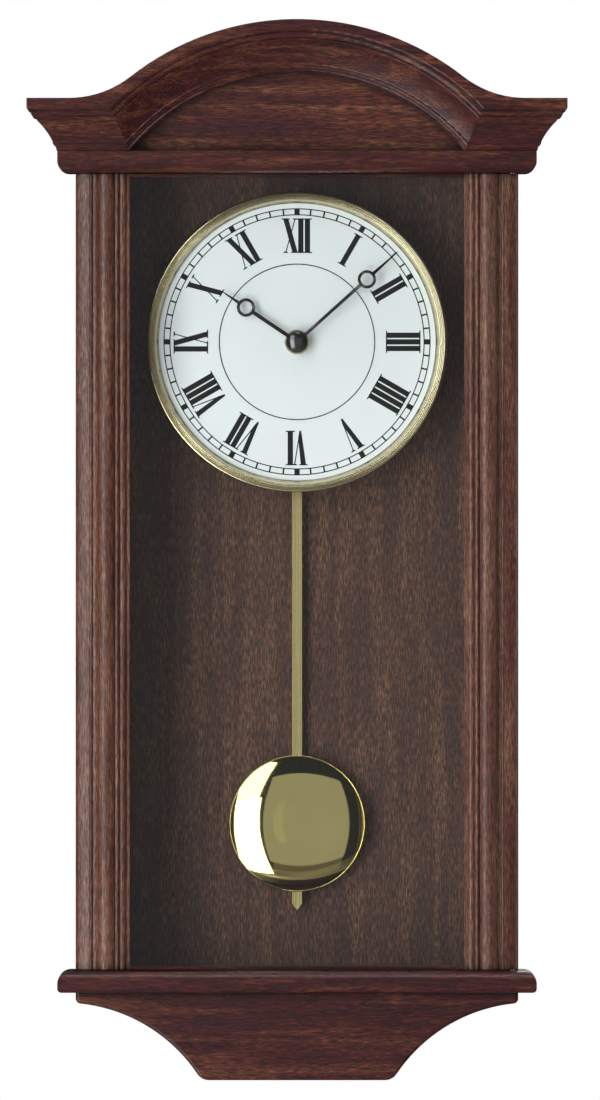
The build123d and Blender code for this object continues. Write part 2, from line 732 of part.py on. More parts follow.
def rotor_pinion():
    x, z = ROTOR_AT
    part = gear(ROTOR_TEETH, THIRD_MODULE, facing(ROTOR_ANGLE, ROTOR_TEETH), x, z, 8.5, 10.6)
    return part + arbor(x, z, 0.35, 7.6, PLATE_TO)


def rotor_magnet():
    x, z = ROTOR_AT
    return arbor(x, z, 3.0, 11.0, 14.0) - arbor(x, z, 0.35, 10.0, 15.0)


def setting_knob():
    """Hand-setting knob at the back, with the pinion that turns the motion wheel."""
    x, z = SETTING_AT
    motion_phase = facing(MOTION_ANGLE, MOTION_TEETH)
    pitch = 360 / MOTION_TEETH
    ahead = (SETTING_ANGLE - motion_phase) % pitch
    pinion_tooth = SETTING_ANGLE + 180 + (ahead / pitch) * 360 / SETTING_TEETH + 180 / SETTING_TEETH
    part = gear(SETTING_TEETH, MOTION_MODULE, pinion_tooth, x, z, 3.7, 5.7)
    part += arbor(x, z, SETTING_SHAFT_R, 3.0, 22.0)
    part += arbor(x, z, 6.0, 22.0, 25.5)
    for number in range(12):
        nick = step_from((x, z), 6.3, number * 30)
        part -= arbor(*nick, 0.8, 21.0, 26.0)
    return part


# ---------------------------------------------------------------- movement
def bearing_points():
    return [(0, 0, PIVOT_R), (*MOTION_AT, PIVOT_R), (*THIRD_AT, PIVOT_R), (*ROTOR_AT, 0.35),
            (*SETTING_AT, SETTING_SHAFT_R)]


def movement_box(near, far, inset):
    half = MOVE_HALF - inset
    low, high = DIAL_Z + MOVE_BOTTOM + inset, DIAL_Z + MOVE_TOP - inset
    return block(-half, half, depth(near), depth(far), low, high)


def movement_front_case():
    part = movement_box(0, MOVE_SPLIT, 0) - movement_box(MOVE_WALL, MOVE_SPLIT + 1, MOVE_WALL)
    part += rod(0, DIAL_Z, BUSH_OUT_R, MOVE_FRONT, DIAL_FRONT - 3.4)
    part -= rod(0, DIAL_Z, HOUR_TUBE_R + RUNNING, depth(3), DIAL_FRONT - 5)
    for x, z in (MOTION_AT, THIRD_AT):
        part -= arbor(x, z, PIVOT_R + RUNNING, 0.8, 3)
    for x in (-22, 22):
        part += arbor(x, -22, 2.4, MOVE_WALL, PLATE_FROM)
        part -= arbor(x, -22, 0.9, 6, 16)
    part += arbor(22, 22, 2.4, MOVE_WALL, PLATE_FROM)
    return part - arbor(22, 22, 0.9, 6, 16)


def movement_rear_cover():
    wall_from = MOVE_DEPTH - MOVE_WALL
    part = movement_box(MOVE_SPLIT, MOVE_DEPTH, 0) - movement_box(MOVE_SPLIT - 1, wall_from, MOVE_WALL)
    centre = DIAL_Z + BATTERY_Z
    reach = BATTERY_R + 0.4
    inner = MOVE_HALF - MOVE_WALL
    for low in (centre - reach - 1.2, centre + reach):
        part += block(-inner, inner, depth(MOVE_SPLIT), depth(wall_from), low, low + 1.2)
    part -= block(-25.8, 25.8, depth(wall_from - 1), depth(MOVE_DEPTH + 1), centre - reach, centre + reach)
    x, z = SETTING_AT
    part -= arbor(x, z, SETTING_SHAFT_R + RUNNING, 10, 23)
    pivot = MOVE_DEPTH + 3.4
    return part + rod(0, SWING_Z, SWING_PIN_R, depth(pivot), depth(MOVE_DEPTH - 1))


def train_plate():
    """Plate that carries the rear pivots of the train."""
    part = block(-24.5, 24.5, depth(PLATE_FROM), depth(PLATE_TO), DIAL_Z - 25, DIAL_Z + 25)
    part -= block(-25, -5, depth(PLATE_FROM - 1), depth(PLATE_TO + 1), DIAL_Z + 18.5, DIAL_Z + 26)
    for x, z, radius in bearing_points():
        part -= arbor(x, z, radius + RUNNING, 14, 17)
    for x, z in ((-22, -22), (22, -22), (22, 22)):
        part -= arbor(x, z, 1.1, 14, 17)
    return part


def train_screws():
    found = Part()
    for x, z in ((-22, -22), (22, -22), (22, 22)):
        found += arbor(x, z, 1.9, PLATE_TO, PLATE_TO + 1.2)
        found += arbor(x, z, 0.9, 8, PLATE_TO)
    return found


def stator():
    """Laminated yoke: a bar through the coil, closed around the rotor."""
    x, z = ROTOR_AT
    part = block(-24, 4, depth(11.9), depth(12.9), DIAL_Z + 8.5, DIAL_Z + 24)
    part -= block(-21.5, -7, depth(11), depth(14), DIAL_Z + 12, DIAL_Z + 21.6)
    return part - arbor(x, z, 3.4, 11, 14)


def motor_coil():
    middle = DIAL_Z + 22.8
    winding = Plane.YZ.offset(-20.5) * (Pos(depth(12.4), middle) * Circle(2.9))
    part = extrude(winding, 12.5)
    flange = Plane.YZ * (Pos(depth(12.4), middle) * Rectangle(6.2, 6.2))
    part += Pos(-21.3, 0, 0) * extrude(flange, 0.8)
    part += Pos(-8.0, 0, 0) * extrude(flange, 0.8)
    return part - block(-30, 0, depth(11.9), depth(12.9), DIAL_Z + 21.6, DIAL_Z + 24)


def circuit_board():
    part = block(9, 19.2, depth(11.2), depth(12), DIAL_Z - 24, DIAL_Z + 19)
    part += block(11, 17, depth(12), depth(13.4), DIAL_Z - 8, DIAL_Z + 0)
    return part + block(12, 15, depth(12), depth(14.2), DIAL_Z - 20, DIAL_Z - 12)


def battery():
    centre = DIAL_Z + BATTERY_Z
    half = BATTERY_LENGTH / 2
    can = Plane.YZ.offset(-half) * (Pos(depth(BATTERY_DEPTH), centre) * Circle(BATTERY_R))
    tip = Plane.YZ.offset(half - 1) * (Pos(depth(BATTERY_DEPTH), centre) * Circle(2.75))
    return extrude(can, BATTERY_LENGTH - 1) + extrude(tip, 1)


def battery_contacts():
    centre = DIAL_Z + BATTERY_Z
    inner = MOVE_HALF - MOVE_WALL
    half = BATTERY_LENGTH / 2
    found = Part()
    for x in (-inner, half):
        found += block(x, x + inner - half, depth(5), depth(16), centre - 4, centre + 4)
    return found


def pendulum_coil():
    """Coil that pushes the magnet below it, standing on the floor of the movement box."""
    low = DIAL_Z + MOVE_BOTTOM + MOVE_WALL
    return upright(0, depth(12), 7, low, low + 6) - upright(0, depth(12), 2, low + 1, low + 7)


# ---------------------------------------------------------------- pendulum
def swing_arm():
    """Plastic arm on the pivot pin, with a shelf for the magnet and a stub for the lath."""
    back, front = depth(24.0), depth(21.6)
    low = DIAL_Z - 80
    part = block(-4, 4, back, front, low, SWING_Z)
    part += rod(0, SWING_Z, 4, back, front)
    part += block(-5, 5, back, depth(8), DIAL_Z - 72, DIAL_Z - 70)
    part -= rod(0, SWING_Z, SWING_PIN_R + RUNNING, 0, front - 1)
    return part + rod(0, LATH_TOP - 3, 1.2, back + 1.6, back)


def pendulum_magnet():
    return upright(0, depth(12), 3.5, DIAL_Z - 70, DIAL_Z - 67)


def pendulum_lath():
    half = LATH_WIDTH / 2
    points = [
        (-half, LATH_TOP), (half, LATH_TOP), (half, LATH_TIP + LATH_POINT),
        (0, LATH_TIP), (-half, LATH_TIP + LATH_POINT),
    ]
    strip = plate(make_face(Polyline(*points, close=True)), depth(25.1), depth(24.1))
    return strip - rod(0, LATH_TOP - 3, 1.3, 0, -60)


def bob_curve(edge_r, edge_y):
    """Half profile of the dome: a rounder shoulder from the rim inwards, then the flatter middle."""
    low, high = math.radians(BOB_MIDDLE_TILT), math.radians(BOB_EDGE_TILT)
    shoulder_r = (edge_r - BOB_MIDDLE_R) / (math.sin(high) - math.sin(low))
    middle_y = edge_y - shoulder_r * (math.cos(low) - math.cos(high))
    centre = (edge_r - shoulder_r * math.sin(high), edge_y + shoulder_r * math.cos(high))
    halfway = (low + high) / 2
    through = (centre[0] + shoulder_r * math.sin(halfway), centre[1] - shoulder_r * math.cos(halfway))
    sphere_r = BOB_MIDDLE_R / math.sin(low)
    crest_y = middle_y - sphere_r * (1 - math.cos(low))
    shoulder = ThreePointArc((edge_r, edge_y), through, (BOB_MIDDLE_R, middle_y))
    return [shoulder, dome(BOB_MIDDLE_R, middle_y, crest_y)]


def bob_front():
    """Spun brass shell with a plain edge."""
    back = BOB_BACK_Y
    sheet = BOB_SHEET
    outer = bob_curve(BOB_R, back - sheet)
    inner = bob_curve(BOB_R - 2 * sheet, back)
    edges = [
        Line((BOB_R, back), (BOB_R, back - sheet)),
        *outer,
        Line(outer[-1] @ 1, inner[-1] @ 1),
        *inner,
        Line((BOB_R - 2 * sheet, back), (BOB_R, back)),
    ]
    return turned(edges, BOB_Z)


def bob_back():
    """Disc that closes the shell, with the bridge under which the lath slides."""
    disc_back = BOB_BACK_Y + BOB_SHEET
    lath_back = depth(25.1)
    half = LATH_WIDTH / 2
    part = rod(0, BOB_Z, BOB_R - 0.8, disc_back, BOB_BACK_Y)
    part += block(-half - 3, half + 3, lath_back + 0.8, disc_back, BOB_Z - 14, BOB_Z + 14)
    return part - block(-half - 0.1, half + 0.1, lath_back, disc_back, BOB_Z - 20, BOB_Z + 20)


# ---------------------------------------------------------------- all parts
def make_parts():
    right_side = side_board()
    right_return = crown_return()
    right_cheek = apron_cheek()
    rail_low = PLINTH_TOP + DOOR_GAP
    return {
        "side_board_right": right_side,
        "side_board_left": mirrored(right_side),
        "back_panel": back_panel(),
        "top_board": top_board(),
        "plinth_board": plinth_board(),
        "case_dowels": dowels(),
        "apron_front": apron_front(),
        "apron_cheek_right": right_cheek,
        "apron_cheek_left": mirrored(right_cheek),
        "apron_bottom": apron_bottom(),
        "glue_blocks": glue_blocks(),
        "crown_front": crown_front(),
        "crown_return_right": right_return,
        "crown_return_left": mirrored(right_return),
        "tympanum_panel": tympanum_panel(),
        "hanger_rail": hanger_rail(),
        "hanger_plate": hanger_plate(),
        "hanger_screws": hanger_screws(),
        "pivot_bushes": pivot_bushes(),
        "magnet_catch": magnet_catch(),
        "door_stile_right": door_stile(1),
        "door_stile_left": door_stile(-1),
        "door_rail_bottom": door_rail(rail_low),
        "door_rail_top": door_rail(TOP_BOARD_Z - DOOR_GAP - RAIL_HEIGHT),
        "door_glass": door_glass(),
        "glazing_beads": glazing_beads(),
        "door_pins": door_pins(),
        "strike_plate": strike_plate(),
        "dial_plate": dial_plate(),
        "dial_backing": dial_backing(),
        "dial_bezel": dial_bezel(),
        "dial_posts": dial_posts(),
        "dial_screws": dial_screws(),
        "dial_washer": dial_washer(),
        "dial_nut": dial_nut(),
        "hour_hand": hour_hand(),
        "minute_hand": minute_hand(),
        "hand_cap": hand_cap(),
        "centre_arbor": centre_arbor(),
        "hour_wheel": hour_wheel(),
        "motion_wheel": motion_wheel(),
        "third_wheel": third_wheel(),
        "rotor_pinion": rotor_pinion(),
        "rotor_magnet": rotor_magnet(),
        "setting_knob": setting_knob(),
        "movement_front_case": movement_front_case(),
        "movement_rear_cover": movement_rear_cover(),
        "train_plate": train_plate(),
        "train_screws": train_screws(),
        "stator": stator(),
        "motor_coil": motor_coil(),
        "circuit_board": circuit_board(),
        "battery": battery(),
        "battery_contacts": battery_contacts(),
        "pendulum_coil": pendulum_coil(),
        "swing_arm": swing_arm(),
        "pendulum_magnet": pendulum_magnet(),
        "pendulum_lath": pendulum_lath(),
        "bob_front": bob_front(),
        "bob_back": bob_back(),
    }


def export(parts):
    os.makedirs("parts", exist_ok=True)
    for name, part in parts.items():
        export_step(Pos(0, 0, -HANGER_Z) * part, f"parts/{name}.step")


export(make_parts())
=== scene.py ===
import json
import math

import bmesh
import bpy
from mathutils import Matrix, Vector

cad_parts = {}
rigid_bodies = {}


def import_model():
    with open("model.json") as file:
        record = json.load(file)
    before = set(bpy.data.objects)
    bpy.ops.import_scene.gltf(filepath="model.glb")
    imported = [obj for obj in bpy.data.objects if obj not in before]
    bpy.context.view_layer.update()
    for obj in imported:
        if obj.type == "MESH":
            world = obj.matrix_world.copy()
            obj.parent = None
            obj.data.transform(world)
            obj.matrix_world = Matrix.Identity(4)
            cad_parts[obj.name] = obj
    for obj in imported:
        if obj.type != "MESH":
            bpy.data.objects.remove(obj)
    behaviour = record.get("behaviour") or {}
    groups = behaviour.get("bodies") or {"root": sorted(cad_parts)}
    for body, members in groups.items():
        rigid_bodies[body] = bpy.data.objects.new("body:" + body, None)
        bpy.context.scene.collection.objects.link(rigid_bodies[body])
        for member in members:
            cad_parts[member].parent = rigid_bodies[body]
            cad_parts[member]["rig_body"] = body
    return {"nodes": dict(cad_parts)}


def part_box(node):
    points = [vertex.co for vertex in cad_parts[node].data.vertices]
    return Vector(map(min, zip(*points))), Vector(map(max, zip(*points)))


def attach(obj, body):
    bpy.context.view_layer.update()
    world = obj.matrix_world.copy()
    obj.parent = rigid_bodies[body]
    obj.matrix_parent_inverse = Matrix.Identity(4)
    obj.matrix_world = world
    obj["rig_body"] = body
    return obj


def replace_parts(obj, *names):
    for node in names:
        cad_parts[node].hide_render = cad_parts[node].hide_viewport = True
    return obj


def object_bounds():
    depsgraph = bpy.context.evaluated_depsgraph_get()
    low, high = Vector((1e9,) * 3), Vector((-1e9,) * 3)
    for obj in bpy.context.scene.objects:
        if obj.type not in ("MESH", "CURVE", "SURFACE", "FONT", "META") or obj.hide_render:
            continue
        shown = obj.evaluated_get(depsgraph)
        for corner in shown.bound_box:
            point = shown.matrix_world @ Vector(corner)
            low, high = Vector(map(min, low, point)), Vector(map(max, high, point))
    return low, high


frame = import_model()
cad_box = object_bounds()
NODES = frame["nodes"]
MM = 0.001

# ---- places, all read from the frame ----
case_low, case_high = cad_box
dial_low, dial_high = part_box("dial_plate")
DIAL_CENTRE = (dial_low + dial_high) / 2
DIAL_FRONT = dial_low.y
DIAL_R = (dial_high.x - dial_low.x) / 2
bezel_low, bezel_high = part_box("dial_bezel")
BEZEL_R = (bezel_high.x - bezel_low.x) / 2
bob_low, bob_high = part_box("bob_front")
BOB_CENTRE = (bob_low + bob_high) / 2
BOB_R = (bob_high.x - bob_low.x) / 2
cap_low, cap_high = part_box("hand_cap")
CAP_R = (cap_high.x - cap_low.x) / 2
MIDDLE_Z = (case_low.z + case_high.z) / 2
DOOR_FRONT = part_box("door_stile_left")[0].y


# ---------------------------------------------------------------- materials
class Shader:
    """A material being built: add() makes a node, join() links two sockets."""

    def __init__(self, name):
        self.material = bpy.data.materials.new(name)
        self.material.use_nodes = True
        self.nodes = self.material.node_tree.nodes
        self.links = self.material.node_tree.links
        self.nodes.clear()
        self.output = self.nodes.new("ShaderNodeOutputMaterial")

    def add(self, kind, inputs=None, **settings):
        node = self.nodes.new(kind)
        for key, value in settings.items():
            setattr(node, key, value)
        for key, value in (inputs or {}).items():
            node.inputs[key].default_value = value
        return node

    def join(self, source, target):
        self.links.new(source, target)

    def surface(self, inputs):
        shader = self.add("ShaderNodeBsdfPrincipled", inputs)
        self.join(shader.outputs["BSDF"], self.output.inputs["Surface"])
        return shader

    def place(self, scale):
        """Object coordinates, stretched: the numbers are features per metre along X, Y and Z."""
        where = self.add("ShaderNodeTexCoord")
        stretch = self.add("ShaderNodeMapping", {"Scale": scale})
        self.join(where.outputs["Object"], stretch.inputs["Vector"])
        return stretch.outputs["Vector"]

    def noise(self, scale, detail=4.0, roughness=0.55, distortion=0.0):
        inputs = {"Scale": 1.0, "Detail": detail, "Roughness": roughness, "Distortion": distortion}
        texture = self.add("ShaderNodeTexNoise", inputs)
        self.join(self.place(scale), texture.inputs["Vector"])
        return texture.outputs["Fac"]

    def ramp(self, source, stops):
        node = self.add("ShaderNodeValToRGB")
        elements = node.color_ramp.elements
        while len(elements) < len(stops):
            elements.new(0.5)
        for element, (place, colour) in zip(elements, stops):
            element.position = place
            element.color = (*colour, 1.0)
        self.join(source, node.inputs["Fac"])
        return node.outputs["Color"]

    def fraction(self, source, low, high, to_low=0.0, to_high=1.0):
        """Maps low..high of a texture to to_low..to_high."""
        inputs = {"From Min": low, "From Max": high, "To Min": to_low, "To Max": to_high}
        node = self.add("ShaderNodeMapRange", inputs)
        self.join(source, node.inputs["Value"])
        return node.outputs["Result"]

    def blend(self, factor, first, second, mode="MIX"):
        node = self.add("ShaderNodeMix", data_type="RGBA", blend_type=mode)
        for socket, value in ((0, factor), (6, first), (7, second)):
            if isinstance(value, bpy.types.NodeSocket):
                self.join(value, node.inputs[socket])
            else:
                node.inputs[socket].default_value = value
        return node.outputs[2]

    def bump(self, height, distance, strength=1.0, edge_radius=0.0):
        node = self.add("ShaderNodeBump", {"Distance": distance, "Strength": strength})
        self.join(height, node.inputs["Height"])
        if edge_radius:
            rounded = self.add("ShaderNodeBevel", {"Radius": edge_radius}, samples=6)
            self.join(rounded.outputs["Normal"], node.inputs["Normal"])
        return node.outputs["Normal"]


def along(axis, lengthwise, across):
    """Scales for a texture that is stretched along one axis (0 is X, 1 is Y, 2 is Z)."""
    scale = [across, across, across]
    scale[axis] = lengthwise
    return scale


PORE_TONE = 0.30             # how dark the pores are, as a share of the darkest tone
PAINTED_SHADE_REACH = 6 * MM        # how far out of a recess the painted shade reaches


def wood(name, axis, tones, grain, pore_share, pore_depth, roughness, edge_radius=0.0006):
    """Stained wood under lacquer: slow bands, fine streaks and short dark pores along the grain,
    with painted shade darkening the recesses of the mouldings, computed by ambient occlusion.
    grain is the streaks per metre along and across the wood, and their contrast."""
    made = Shader(name)
    dark, middle, light = tones
    lengthwise, across, contrast = grain
    bands = made.noise(along(axis, 10, 130), detail=3, distortion=0.7)
    streaks = made.noise(along(axis, lengthwise, across), detail=4, roughness=0.65)
    pores = made.noise(along(axis, 190, 1700), detail=2)
    base = made.ramp(bands, [(0.37, dark), (0.50, middle), (0.63, light)])
    low, high = 1 - 0.5 * contrast, 1 + 0.8 * contrast
    streak_tone = made.ramp(streaks, [(0.38, (low, low * 0.95, low)), (0.50, (0.97, 0.97, 0.97)),
                                      (0.62, (high, high * 1.06, high * 0.92))])
    toned = made.blend(1.0, base, streak_tone, "MULTIPLY")
    pore_mask = made.fraction(pores, 0.50, 0.60, 0.0, pore_share)
    grained = made.blend(pore_mask, toned, (*[tone * PORE_TONE for tone in dark], 1.0))
    # painted shade: ambient occlusion darkens the colour in recesses and between mouldings, down to about a
    # fifth
    occlusion_shade = made.add("ShaderNodeAmbientOcclusion", {"Distance": PAINTED_SHADE_REACH}, samples=8)
    shade = made.ramp(occlusion_shade.outputs["AO"], [(0.40, (0.18, 0.15, 0.17)), (0.86, (1.0, 1.0, 1.0))])
    coloured = made.blend(1.0, grained, shade, "MULTIPLY")
    shader = made.surface({"Specular IOR Level": 0.24, "Coat Weight": 0.08, "Coat Roughness": 0.14})
    made.join(coloured, shader.inputs["Base Color"])
    gloss = made.fraction(streaks, 0.3, 0.7, roughness + 0.07, roughness - 0.05)
    made.join(gloss, shader.inputs["Roughness"])
    height = made.fraction(pores, 0.48, 0.66, 1.0, 0.0)
    normal = made.bump(height, pore_depth, 0.6, edge_radius)
    made.join(normal, shader.inputs["Normal"])
    return made.material


def metal(name, colour, roughness, brush_axis=None, grain=900, depth=0.00002):
    """Metal with fine marks, drawn out along brush_axis if there is one."""
    made = Shader(name)
    scale = along(brush_axis, 12, grain) if brush_axis is not None else (grain, grain, grain)
    marks = made.noise(scale, detail=3)
    clouds = made.noise((30, 30, 30), detail=2)
    shader = made.surface({"Metallic": 1.0})
    tint = made.ramp(clouds, [(0.3, [c * 0.93 for c in colour]), (0.7, colour)])
    made.join(tint, shader.inputs["Base Color"])
    made.join(made.fraction(marks, 0.3, 0.7, roughness * 0.8, roughness * 1.25), shader.inputs["Roughness"])
    made.join(made.bump(marks, depth, 0.35), shader.inputs["Normal"])
    return made.material


def polished_brass(name, colour, roughness):
    """Lacquered brass with faint turning marks and haze."""
    made = Shader(name)
    haze = made.noise((45, 45, 45), detail=3)
    marks = made.noise((1500, 1500, 1500), detail=2)
    tint = made.ramp(haze, [(0.3, [c * 0.92 for c in colour]), (0.7, colour)])
    shader = made.surface({"Metallic": 1.0, "Coat Weight": 0.1, "Coat Roughness": 0.04})
    made.join(tint, shader.inputs["Base Color"])
    made.join(made.fraction(haze, 0.3, 0.7, roughness - 0.02, roughness + 0.02), shader.inputs["Roughness"])
    made.join(made.bump(marks, 0.000004, 0.2), shader.inputs["Normal"])
    return made.material


def plastic(name, colour, roughness, grain=1600, depth=0.00003):
    """Moulded plastic with a fine spark-eroded texture."""
    made = Shader(name)
    texture = made.noise((grain, grain, grain), detail=2)
    clouds = made.noise((25, 25, 25), detail=2)
    shader = made.surface({"Specular IOR Level": 0.45})
    tint = made.ramp(clouds, [(0.3, [c * 0.86 for c in colour]), (0.7, colour)])
    made.join(tint, shader.inputs["Base Color"])
    gloss = made.fraction(texture, 0.3, 0.7, roughness - 0.06, roughness + 0.06)
    made.join(gloss, shader.inputs["Roughness"])
    made.join(made.bump(texture, depth, 0.5), shader.inputs["Normal"])
    return made.material


def dial_enamel():
    """White enamel, very slightly uneven, under a thin gloss."""
    made = Shader("dial_enamel")
    clouds = made.noise((14, 14, 14), detail=3)
    shader = made.surface({"Coat Weight": 0.3, "Coat Roughness": 0.12})
    tint = made.ramp(clouds, [(0.3, (0.74, 0.785, 0.80)), (0.7, (0.79, 0.82, 0.85))])
    made.join(tint, shader.inputs["Base Color"])
    made.join(made.fraction(clouds, 0.3, 0.7, 0.32, 0.40), shader.inputs["Roughness"])
    made.join(made.bump(made.noise((420, 420, 420)), 0.00001, 0.3), shader.inputs["Normal"])
    return made.material


def printing_ink():
    """Matt black ink."""
    made = Shader("printing_ink")
    texture = made.noise((900, 900, 900), detail=2)
    shader = made.surface({"Specular IOR Level": 0.12})
    tint = made.ramp(texture, [(0.3, (0.003, 0.0035, 0.004)), (0.7, (0.006, 0.007, 0.008))])
    made.join(tint, shader.inputs["Base Color"])
    made.join(made.fraction(texture, 0.3, 0.7, 0.50, 0.62), shader.inputs["Roughness"])
    return made.material


def black_enamel():
    """Glossy black paint on the hands and their cap."""
    made = Shader("black_enamel")
    texture = made.noise((700, 700, 700), detail=3)
    shader = made.surface({"Specular IOR Level": 0.45, "Coat Weight": 0.8, "Coat Roughness": 0.05})
    tint = made.ramp(texture, [(0.3, (0.004, 0.004, 0.005)), (0.7, (0.007, 0.007, 0.009))])
    made.join(tint, shader.inputs["Base Color"])
    made.join(made.fraction(texture, 0.3, 0.7, 0.14, 0.22), shader.inputs["Roughness"])
    return made.material


GLASS_FACING = 0.015         # share of light that the pane's surface reflects, seen square on
GLASS_GRAZING = 0.80         # and seen edge on


def window_glass():
    """Clear pane: light passes straight through, and the surface reflects a little, more at a
    grazing angle, the same from both sides."""
    made = Shader("window_glass")
    dust = made.noise((260, 260, 260), detail=4, roughness=0.7)
    clear = made.add("ShaderNodeBsdfTransparent", {"Color": (0.97, 0.985, 0.98, 1.0)})
    gloss = made.add("ShaderNodeBsdfGlossy", {"Color": (1.0, 1.0, 1.0, 1.0)})
    made.join(made.fraction(dust, 0.4, 0.8, 0.02, 0.06), gloss.inputs["Roughness"])
    angle = made.add("ShaderNodeLayerWeight", {"Blend": 0.5})
    grazing = made.add("ShaderNodeMath", {1: 5.0}, operation="POWER")
    made.join(angle.outputs["Facing"], grazing.inputs[0])
    mixed = made.add("ShaderNodeMixShader")
    share = made.fraction(grazing.outputs["Value"], 0.0, 1.0, GLASS_FACING, GLASS_GRAZING)
    made.join(share, mixed.inputs[0])
    made.join(clear.outputs["BSDF"], mixed.inputs[1])
    made.join(gloss.outputs["BSDF"], mixed.inputs[2])
    made.join(mixed.outputs["Shader"], made.output.inputs["Surface"])
    return made.material


def copper_winding():
    """Fine enamelled wire, seen as close ridges, with painted shade darkening the grooves between turns."""
    made = Shader("copper_winding")
    wave = made.add("ShaderNodeTexWave", {"Scale": 1.0, "Distortion": 1.5}, bands_direction="X")
    made.join(made.place((1800, 300, 1800)), wave.inputs["Vector"])
    shader = made.surface({"Metallic": 0.8, "Roughness": 0.35})
    # painted shade: the colour follows the ridge wave, darker in the grooves between turns
    tint = made.ramp(wave.outputs["Fac"], [(0.1, (0.25, 0.09, 0.035)), (0.9, (0.72, 0.33, 0.14))])
    made.join(tint, shader.inputs["Base Color"])
    made.join(made.bump(wave.outputs["Fac"], 0.0001, 0.8), shader.inputs["Normal"])
    return made.material


def circuit_mask():
    """Green solder mask over blocks of track."""
    made = Shader("circuit_mask")
    tracks = made.add("ShaderNodeTexVoronoi", {"Scale": 1.0}, distance="CHEBYCHEV")
    made.join(made.place((420, 420, 420)), tracks.inputs["Vector"])
    shader = made.surface({"Roughness": 0.35})
    tint = made.ramp(tracks.outputs["Distance"], [(0.35, (0.02, 0.13, 0.045)), (0.42, (0.045, 0.22, 0.08))])
    made.join(tint, shader.inputs["Base Color"])
    return made.material


def battery_wrap():
    """Plain two-colour wrap: dark body with a band at the positive end."""
    made = Shader("battery_wrap")
    low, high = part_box("battery")
    where = made.add("ShaderNodeTexCoord")
    split = made.add("ShaderNodeSeparateXYZ")
    made.join(where.outputs["Object"], split.inputs["Vector"])
    share = made.fraction(split.outputs["X"], low.x, high.x)
    tint = made.ramp(share, [(0.0, (0.55, 0.55, 0.56)), (0.03, (0.025, 0.028, 0.035)),
                             (0.70, (0.42, 0.24, 0.07)), (0.96, (0.60, 0.60, 0.60))])
    tint.node.color_ramp.interpolation = "CONSTANT"
    shader = made.surface({"Metallic": 0.6, "Coat Weight": 0.5})
    made.join(tint, shader.inputs["Base Color"])
    made.join(made.fraction(made.noise((60, 60, 60)), 0.3, 0.7, 0.25, 0.4), shader.inputs["Roughness"])
    return made.material


CASE_TONES = ((0.032, 0.0060, 0.0075), (0.052, 0.0092, 0.0090), (0.090, 0.0270, 0.0150))
TYMPANUM_TONES = ((0.046, 0.0095, 0.0095), (0.075, 0.0170, 0.0125), (0.125, 0.0420, 0.0220))
STILE_TONES = ((0.082, 0.0300, 0.0215), (0.112, 0.0440, 0.0300), (0.150, 0.0700, 0.0460))
PANEL_TONES = ((0.052, 0.0170, 0.0120), (0.073, 0.0260, 0.0150), (0.102, 0.0430, 0.0235))
RAW_TONES = ((0.26, 0.15, 0.075), (0.38, 0.24, 0.125), (0.50, 0.34, 0.19))

MATERIALS = {
    "walnut_level": wood("walnut_level", 0, CASE_TONES, (170, 1500, 1.1), 0.65, 0.00010, 0.27),
    "walnut_upright": wood("walnut_upright", 2, STILE_TONES, (190, 1500, 0.9), 0.60, 0.00012, 0.30),
    "walnut_inward": wood("walnut_inward", 1, CASE_TONES, (170, 1500, 1.1), 0.65, 0.00010, 0.27),
    "walnut_figured": wood("walnut_figured", 0, TYMPANUM_TONES, (150, 1400, 1.1), 0.65, 0.00010, 0.30),
    "walnut_panel": wood("walnut_panel", 2, PANEL_TONES, (210, 1500, 1.6), 0.80, 0.00015, 0.50,
                         edge_radius=0.0003),
    "raw_wood": wood("raw_wood", 0, RAW_TONES, (30, 480, 0.5), 0.4, 0.0001, 0.6),
    "zinc_steel": metal("zinc_steel", (0.50, 0.50, 0.50), 0.32),
    "polished_brass": polished_brass("polished_brass", (0.66, 0.555, 0.235), 0.06),
    "pale_brass": polished_brass("pale_brass", (0.68, 0.61, 0.41), 0.23),
    "brushed_brass": metal("brushed_brass", (0.60, 0.48, 0.22), 0.26, brush_axis=2, grain=2600),
    "window_glass": window_glass(),
    "dial_enamel": dial_enamel(),
    "printing_ink": printing_ink(),
    "black_enamel": black_enamel(),
    "black_plastic": plastic("black_plastic", (0.018, 0.018, 0.020), 0.48),
    "white_plastic": plastic("white_plastic", (0.72, 0.71, 0.65), 0.42),
    "copper_winding": copper_winding(),
    "circuit_mask": circuit_mask(),
    "battery_wrap": battery_wrap(),
}

NODE_MATERIALS = {
    "walnut_level": ["top_board", "plinth_board", "apron_front", "apron_bottom", "crown_front",
                     "door_rail_top", "door_rail_bottom"],
    "walnut_figured": ["tympanum_panel"],
    "walnut_upright": ["side_board_left", "side_board_right", "door_stile_left", "door_stile_right"],
    "walnut_inward": ["crown_return_left", "crown_return_right", "apron_cheek_left", "apron_cheek_right"],
    "walnut_panel": ["back_panel"],
    "raw_wood": ["case_dowels", "glue_blocks", "hanger_rail", "glazing_beads", "dial_backing"],
    "zinc_steel": ["hanger_plate", "hanger_screws", "door_pins", "strike_plate", "dial_screws",
                   "train_screws", "battery_contacts", "stator", "rotor_magnet", "pendulum_magnet"],
    "polished_brass": ["bob_front", "dial_nut", "pivot_bushes"],
    "pale_brass": ["dial_bezel", "dial_washer"],
    "brushed_brass": ["pendulum_lath", "bob_back", "dial_posts"],
    "window_glass": ["door_glass"],
    "dial_enamel": ["dial_plate"],
    "black_enamel": ["hour_hand", "minute_hand", "hand_cap"],
    "black_plastic": ["movement_front_case", "movement_rear_cover", "magnet_catch", "swing_arm"],
    "white_plastic": ["centre_arbor", "hour_wheel", "motion_wheel", "third_wheel", "rotor_pinion",
                      "setting_knob", "train_plate"],
    "copper_winding": ["motor_coil", "pendulum_coil"],
    "circuit_mask": ["circuit_board"],
    "battery_wrap": ["battery"],
}


